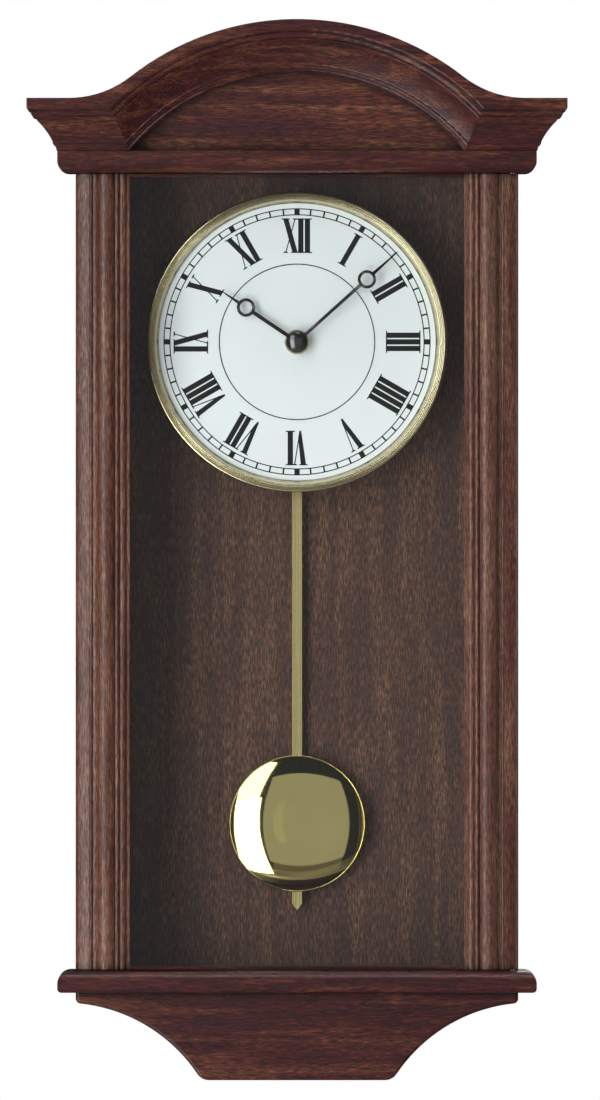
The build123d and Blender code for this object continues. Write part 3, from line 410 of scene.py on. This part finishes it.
def dress(node, material):
    """Gives a CAD node one of MATERIALS."""
    slots = NODES[node].data.materials
    slots.clear()
    slots.append(MATERIALS[material])


for material, members in NODE_MATERIALS.items():
    for member in members:
        dress(member, material)


# ---------------------------------------------------------------- mesh helpers
def finish_piece(name, mesh, material, body, smooth_angle=None):
    """Puts a mesh in the scene as a piece that rides on a body; smooth_angle is in degrees."""
    piece = bpy.data.objects.new(name, mesh)
    bpy.context.scene.collection.objects.link(piece)
    mesh.materials.append(MATERIALS[material])
    if smooth_angle:
        mesh.shade_smooth()
        mesh.set_sharp_from_angle(angle=math.radians(smooth_angle))
    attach(piece, body)
    return piece


def lathe(name, profile, centre, material, body, steps=180, smooth_angle=35):
    """A closed (radius, y) profile, in metres, revolved about the level axis through centre."""
    build = bmesh.new()
    rings = []
    for radius, y in profile:
        if radius < 1e-9:
            rings.append([build.verts.new((centre.x, y, centre.z))] * steps)
            continue
        ring = []
        for step in range(steps):
            turn = 2 * math.pi * step / steps
            spot = (centre.x + radius * math.sin(turn), y, centre.z + radius * math.cos(turn))
            ring.append(build.verts.new(spot))
        rings.append(ring)
    for first, second in zip(rings, rings[1:] + rings[:1]):
        for step in range(steps):
            after = (step + 1) % steps
            corners = []
            for corner in (first[step], first[after], second[after], second[step]):
                if corner not in corners:
                    corners.append(corner)
            if len(corners) > 2:
                build.faces.new(corners)
    bmesh.ops.recalc_face_normals(build, faces=build.faces)
    mesh = bpy.data.meshes.new(name)
    build.to_mesh(mesh)
    build.free()
    return finish_piece(name, mesh, material, body, smooth_angle)


def arc_points(start, middle, end, count):
    """count points from start to end on a curve through middle, ends included."""
    points = []
    for step in range(count):
        t = step / (count - 1)
        near, mid, far = (1 - t) * (1 - 2 * t), 4 * t * (1 - t), t * (2 * t - 1)
        points.append(tuple(near * a + mid * b + far * c for a, b, c in zip(start, middle, end)))
    return points


# ---------------------------------------------------------------- dial printing
PRINT_THICK = 0.06 * MM
PRINT_BACK = DIAL_FRONT - 0.01 * MM
CIRCLE_R = DIAL_R * 0.551
TRACK_IN_R, TRACK_OUT_R = DIAL_R * 0.901, DIAL_R * 0.943
LINE_WIDTH = 0.6 * MM
CIRCLE_WIDTH = 0.62 * MM
TICK_WIDTH = 0.95 * MM
BLOCK_WIDTH = 3.0 * MM
NUMERAL_LOW, NUMERAL_HIGH = DIAL_R * 0.630, DIAL_R * 0.875
STEM = 3.0 * MM
HAIRLINE = 0.6 * MM
V_SPREAD = 3.3 * MM
X_SPREAD = 2.7 * MM
SERIF_REACH = 1.15 * MM
SERIF_THICK = 0.6 * MM
STEM_SERIF = STEM / 2 + 0.9 * MM
THIN_SERIF = 1.3 * MM
STEM_GAP = 0.75 * MM


def printed(name, outlines):
    """Flat black print on the dial: each outline is a loop of (x, z) offsets from the centre."""
    build = bmesh.new()
    for outline in outlines:
        front = []
        back = []
        for x, z in outline:
            front.append(build.verts.new((DIAL_CENTRE.x + x, PRINT_BACK - PRINT_THICK, DIAL_CENTRE.z + z)))
            back.append(build.verts.new((DIAL_CENTRE.x + x, PRINT_BACK, DIAL_CENTRE.z + z)))
        build.faces.new(front)
        build.faces.new(back[::-1])
        for here in range(len(outline)):
            after = (here + 1) % len(outline)
            build.faces.new((front[here], back[here], back[after], front[after]))
    bmesh.ops.recalc_face_normals(build, faces=build.faces)
    mesh = bpy.data.meshes.new(name)
    build.to_mesh(mesh)
    build.free()
    return finish_piece(name, mesh, "printing_ink", "case")


def printed_ring(name, radius, width):
    low, high = radius - width / 2, radius + width / 2
    front, back = PRINT_BACK - PRINT_THICK, PRINT_BACK
    profile = [(low, back), (low, front), (high, front), (high, back)]
    return lathe(name, profile, DIAL_CENTRE, "printing_ink", "case",
                 steps=240, smooth_angle=None)


def at_hour(points, angle):
    """Points drawn upright at the top of the dial, turned clockwise by angle degrees."""
    turn = math.radians(angle)
    cos, sin = math.cos(turn), math.sin(turn)
    return [(x * cos + z * sin, z * cos - x * sin) for x, z in points]


def bar(x_low, z_low, x_high, z_high, width):
    """A stroke from low to high with level ends, width measured across the page."""
    half = width / 2
    return [(x_low - half, z_low), (x_low + half, z_low), (x_high + half, z_high), (x_high - half, z_high)]


def serif(x, z, half, inward):
    """A thin foot with a small bracket where the stroke meets it; inward is +1 up or -1 down."""
    thick = SERIF_THICK * inward
    return [(x - half, z), (x + half, z), (x + half, z + thick), (x, z + thick * 1.5), (x - half, z + thick)]


def stroke_i(x):
    low, high = NUMERAL_LOW, NUMERAL_HIGH
    half = STEM / 2 + SERIF_REACH
    return [bar(x, low, x, high, STEM), serif(x, low, half, 1), serif(x, high, half, -1)]


def stroke_v(x):
    """V: thick stroke from the upper left, hairline up to the right."""
    low, high = NUMERAL_LOW, NUMERAL_HIGH
    left = x - V_SPREAD + STEM / 2
    knee = low + (high - low) * 0.2
    foot = [(x - 0.5 * MM, low), (x + 0.5 * MM, low), (x + STEM * 0.42, knee), (left + STEM / 2, high),
            (left - STEM / 2, high)]
    thin = bar(x + 0.2 * MM, low, x + V_SPREAD, high, HAIRLINE)
    return [foot, thin, serif(left, high, STEM_SERIF, -1), serif(x + V_SPREAD, high, THIN_SERIF, -1)]


def stroke_x(x):
    """X: thick stroke from the upper left to the lower right, hairline across it."""
    low, high = NUMERAL_LOW, NUMERAL_HIGH
    left, right = x - X_SPREAD, x + X_SPREAD
    return [bar(right, low, left, high, STEM), bar(left, low, right, high, HAIRLINE),
            serif(right, low, STEM_SERIF, 1), serif(left, high, STEM_SERIF, -1),
            serif(left, low, THIN_SERIF, 1), serif(right, high, THIN_SERIF, -1)]


STROKES = {"I": (stroke_i, STEM), "V": (stroke_v, 6.9 * MM), "X": (stroke_x, 7.3 * MM)}
NUMERALS = ("XII", "I", "II", "III", "IIII", "V", "VI", "VII", "VIII", "IX", "X", "XI")


def numeral(word, angle):
    """The strokes of a roman numeral, centred on its hour line."""
    widths = [STROKES[letter][1] for letter in word]
    total = sum(widths) + STEM_GAP * (len(word) - 1)
    outlines = []
    x = -total / 2
    for letter, width in zip(word, widths):
        draw = STROKES[letter][0]
        outlines += [at_hour(loop, angle) for loop in draw(x + width / 2)]
        x += width + STEM_GAP
    return outlines


def print_dial():
    """Twelve numerals, the minute track with blocks at the hours, and the inner circle."""
    for hour, word in enumerate(NUMERALS):
        printed(f"numeral_{hour or 12}", numeral(word, 30 * hour))
    ticks = []
    for minute in range(60):
        width = BLOCK_WIDTH if minute % 5 == 0 else TICK_WIDTH
        ticks.append(at_hour(bar(0, TRACK_IN_R, 0, TRACK_OUT_R, width), 6 * minute))
    printed("minute_ticks", ticks)
    printed_ring("track_inner_line", TRACK_IN_R, LINE_WIDTH)
    printed_ring("track_outer_line", TRACK_OUT_R, LINE_WIDTH)
    printed_ring("centre_circle", CIRCLE_R, CIRCLE_WIDTH)


print_dial()


# ---------------------------------------------------------------- turned brass and black pieces
# each ridge of the bezel: how far it starts out from the inner edge, height over the dial, width, in mm
BEZEL_RIDGES = ((2.1, 5.2, 0.95), (3.1, 5.3, 0.85), (4.0, 4.9, 0.75), (4.8, 4.3, 0.7))
RIDGE_CREST = 0.36 * MM
BEZEL_WALL = 3.8 * MM
BOB_SHEET = 0.8 * MM
BOB_ROUND = 0.587            # share of the bob's dome that is a plain round, the rest steepens at the rim
SHAFT_HOLE_R = 1.9 * MM
SHAFT_HOLE_DEPTH = 1.05 * MM
HAND_EDGE = 0.12 * MM        # softening of the hands' edges


def make_bezel():
    """Rolled brass ring, lathe-smooth, in the space of its CAD node: an inner slope that mirrors
    the dial, a row of fine rolled ridges and a lower outer rim."""
    front = DIAL_FRONT
    back = bezel_high.y
    inner = bezel_inner()
    profile = arc_points((inner, front - 0.9 * MM), (inner + 1.25 * MM, front - 2.5 * MM),
                         (inner + 2.0 * MM, front - 4.9 * MM), 9)
    for start, height, width in BEZEL_RIDGES:
        first = inner + start * MM
        level = front - height * MM
        profile += arc_points((first, level), (first + width / 2 * MM, level - RIDGE_CREST),
                              (first + width * MM, level + 0.05 * MM), 7)
    profile += arc_points((inner + 5.6 * MM, front - 2.4 * MM), (inner + 6.2 * MM, front - 2.3 * MM),
                          (BEZEL_R, front - 1.2 * MM), 7)
    wall = BEZEL_R - BEZEL_WALL
    profile += [(BEZEL_R, back), (wall, back), (wall, front - 0.1 * MM), (inner, front - 0.1 * MM)]
    ring = lathe("bezel_ring", profile, DIAL_CENTRE, "pale_brass", "case",
                 steps=256, smooth_angle=28)
    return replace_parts(ring, "dial_bezel")


def bezel_inner():
    """Inner radius of the CAD bezel."""
    mesh = NODES["dial_bezel"].data
    return min(math.hypot(v.co.x - DIAL_CENTRE.x, v.co.z - DIAL_CENTRE.z) for v in mesh.vertices)


def dome_points(radius, edge_y, crest_y, count):
    """Points of a spherical cap from its edge to its crest."""
    rise = abs(crest_y - edge_y)
    sphere_r = (radius**2 + rise**2) / (2 * rise)
    full = math.asin(radius / sphere_r)
    points = []
    for step in range(count):
        turn = full * (1 - step / (count - 1))
        points.append((sphere_r * math.sin(turn), crest_y + sphere_r * (1 - math.cos(turn))))
    return points


def bob_points(edge_r, edge_y, crest_y, count=48):
    """Profile from the rim to the crest: its slope grows with r and r cubed, steepest at the rim."""
    points = []
    for step in range(count):
        share = 1 - step / (count - 1)
        fall = share**2 * (BOB_ROUND + (1 - BOB_ROUND) * share**2)
        points.append((edge_r * share, crest_y + (edge_y - crest_y) * fall))
    return points


def make_bob():
    """Front shell of the bob: a dome that is flatter in the middle, and a fine rolled edge."""
    back = bob_high.y
    dome_r = BOB_R - 0.8 * MM
    dome_edge = back - BOB_SHEET - 0.15 * MM
    roll = arc_points((BOB_R, back - 0.3 * MM), (BOB_R - 0.3 * MM, back - 1.3 * MM), (dome_r, dome_edge), 9)
    outer = bob_points(dome_r, dome_edge, bob_low.y)
    inner = bob_points(dome_r - 1.0 * MM, back, bob_low.y + BOB_SHEET)[::-1]
    profile = [(BOB_R - 0.2 * MM, back)] + roll + outer[1:] + inner
    shell = lathe("bob_shell", profile, BOB_CENTRE, "polished_brass", "pendulum",
                  steps=240, smooth_angle=40)
    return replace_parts(shell, "bob_front")


def make_cap():
    """Glossy domed cap over the hand shaft."""
    back, crest = cap_high.y, cap_low.y
    hole = back - SHAFT_HOLE_DEPTH
    edge = [(0.0, hole), (SHAFT_HOLE_R, hole), (SHAFT_HOLE_R, back), (CAP_R - 0.15 * MM, back),
            (CAP_R, back - 0.2 * MM)]
    cap = lathe("hand_button", edge + dome_points(CAP_R, back - 0.6 * MM, crest, 14), DIAL_CENTRE,
                "black_enamel", "minute", steps=96, smooth_angle=40)
    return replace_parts(cap, "hand_cap")


def make_hand(node, width):
    """The CAD hand with softened edges."""
    mesh = NODES[node].data.copy()
    build = bmesh.new()
    build.from_mesh(mesh)
    bmesh.ops.remove_doubles(build, verts=build.verts, dist=1e-6)
    bmesh.ops.dissolve_limit(build, angle_limit=math.radians(1), verts=build.verts, edges=build.edges)
    rims = [edge for edge in build.edges if edge.calc_face_angle(0) > math.radians(60)]
    bmesh.ops.bevel(build, geom=rims, offset=width, segments=2, affect="EDGES", clamp_overlap=True)
    build.to_mesh(mesh)
    build.free()
    mesh.materials.clear()
    hand = finish_piece(f"{node}_softened", mesh, "black_enamel", NODES[node]["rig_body"],
                        smooth_angle=50)
    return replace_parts(hand, node)


make_bezel()
make_bob()
make_cap()
make_hand("hour_hand", HAND_EDGE)
make_hand("minute_hand", HAND_EDGE)


# ---------------------------------------------------------------- stage, light and camera
FLOOR_DROP = 1.7             # the clock hangs this far above the floor
FLOOR_REACH = 3.5            # from the middle of the floor to its sides
CAMERA_DISTANCE = 20.0       # nearly no perspective; past 24, views from other sides would be clipped away
CAMERA_X = 1.7 * MM
SENSOR_HEIGHT = 24.0
VIEW_HEIGHT = 0.62323        # height of the frame in the plane of the door


def pale(name, colour, roughness):
    """Matt floor that stays pale for the lens, beyond the reach of the lamps, and lights nothing."""
    made = Shader(name)
    clouds = made.noise((3, 3, 3), detail=3)
    tint = made.ramp(clouds, [(0.3, [c * 0.97 for c in colour]), (0.7, colour)])
    matt = made.add("ShaderNodeBsdfPrincipled", {"Roughness": roughness})
    made.join(tint, matt.inputs["Base Color"])
    even = made.add("ShaderNodeEmission", {"Color": (0.90, 0.90, 0.895, 1.0)})
    seen = made.add("ShaderNodeLightPath")
    mixed = made.add("ShaderNodeMixShader")
    made.join(made.fraction(seen.outputs["Is Camera Ray"], 0.0, 1.0, 0.0, 0.80), mixed.inputs[0])
    made.join(matt.outputs["BSDF"], mixed.inputs[1])
    made.join(even.outputs["Emission"], mixed.inputs[2])
    made.join(mixed.outputs["Shader"], made.output.inputs["Surface"])
    return made.material


def make_floor():
    reach = FLOOR_REACH
    z = case_low.z - FLOOR_DROP
    mesh = bpy.data.meshes.new("floor")
    corners = [(-reach, -reach, z), (reach, -reach, z), (reach, reach, z), (-reach, reach, z)]
    mesh.from_pydata(corners, [], [(0, 1, 2, 3)])
    mesh.materials.append(pale("floor_pale", (0.62, 0.58, 0.54), 0.7))
    floor = bpy.data.objects.new("floor", mesh)
    bpy.context.scene.collection.objects.link(floor)


def softbox(name, where, aim, width, height, power, tint=(1.0, 1.0, 1.0)):
    """A rectangular lamp facing aim, sizes in metres and power in watts, unseen by the lens."""
    light = bpy.data.lights.new(name, "AREA")
    light.shape = "RECTANGLE"
    light.size, light.size_y = width, height
    light.energy = power
    light.color = tint
    lamp = bpy.data.objects.new(name, light)
    bpy.context.scene.collection.objects.link(lamp)
    lamp.location = where
    lamp.rotation_euler = (Vector(aim) - Vector(where)).to_track_quat("-Z", "Y").to_euler()
    lamp.visible_camera = False
    return lamp


def make_lights():
    """A tall window to the left, a dim broad panel in front that the bob mirrors, and fill lamps."""
    aim = (0.0, -0.05, MIDDLE_Z)
    softbox("key_left", (-1.567, -2.56, MIDDLE_Z - 0.65), aim, 1.45, 2.6, 80)
    softbox("key_upper", (-1.44, -2.14, MIDDLE_Z + 1.16), aim, 1.3, 1.8, 30)
    softbox("overhead", (-0.2, -0.8, MIDDLE_Z + 2.3), aim, 1.6, 0.8, 22)
    softbox("front_panel", (0.375, -2.65, MIDDLE_Z + 0.03), aim, 2.35, 2.62, 9.0, (1.0, 0.99, 0.97))
    softbox("low_glow", (0.40, -2.65, MIDDLE_Z - 1.55), aim, 2.3, 0.5, 0.52, (1.0, 0.81, 0.62))
    softbox("right_side", (2.2, 0.25, MIDDLE_Z + 0.3), aim, 0.8, 1.6, 14)
    softbox("back_top", (0.7, 2.0, MIDDLE_Z + 1.4), aim, 1.6, 1.6, 40)


def make_world():
    """White behind the object for the lens, and a dim even glow for everything else."""
    world = bpy.data.worlds.new("studio")
    bpy.context.scene.world = world
    world.use_nodes = True
    nodes, links = world.node_tree.nodes, world.node_tree.links
    nodes.clear()
    seen = nodes.new("ShaderNodeLightPath")
    white = nodes.new("ShaderNodeBackground")
    white.inputs["Color"].default_value = (1.0, 1.0, 1.0, 1.0)
    glow = nodes.new("ShaderNodeBackground")
    glow.inputs["Color"].default_value = (0.75, 0.82, 1.0, 1.0)
    glow.inputs["Strength"].default_value = 0.025
    pick = nodes.new("ShaderNodeMixShader")
    output = nodes.new("ShaderNodeOutputWorld")
    links.new(seen.outputs["Is Camera Ray"], pick.inputs[0])
    links.new(glow.outputs["Background"], pick.inputs[1])
    links.new(white.outputs["Background"], pick.inputs[2])
    links.new(pick.outputs["Shader"], output.inputs["Surface"])


def make_camera():
    """Square on to the front, level with the middle of the clock."""
    camera_data = bpy.data.cameras.new("camera")
    camera_data.sensor_fit = "VERTICAL"
    camera_data.sensor_height = SENSOR_HEIGHT
    camera_data.lens = SENSOR_HEIGHT * (CAMERA_DISTANCE + DOOR_FRONT) / VIEW_HEIGHT
    camera_data.clip_end = 100.0
    camera = bpy.data.objects.new("camera", camera_data)
    bpy.context.scene.collection.objects.link(camera)
    camera.location = (CAMERA_X, -CAMERA_DISTANCE, MIDDLE_Z)
    camera.rotation_euler = (math.radians(90), 0.0, 0.0)
    bpy.context.scene.camera = camera


make_floor()
make_lights()
make_world()
make_camera()
bpy.context.scene.view_settings.view_transform = "Standard"
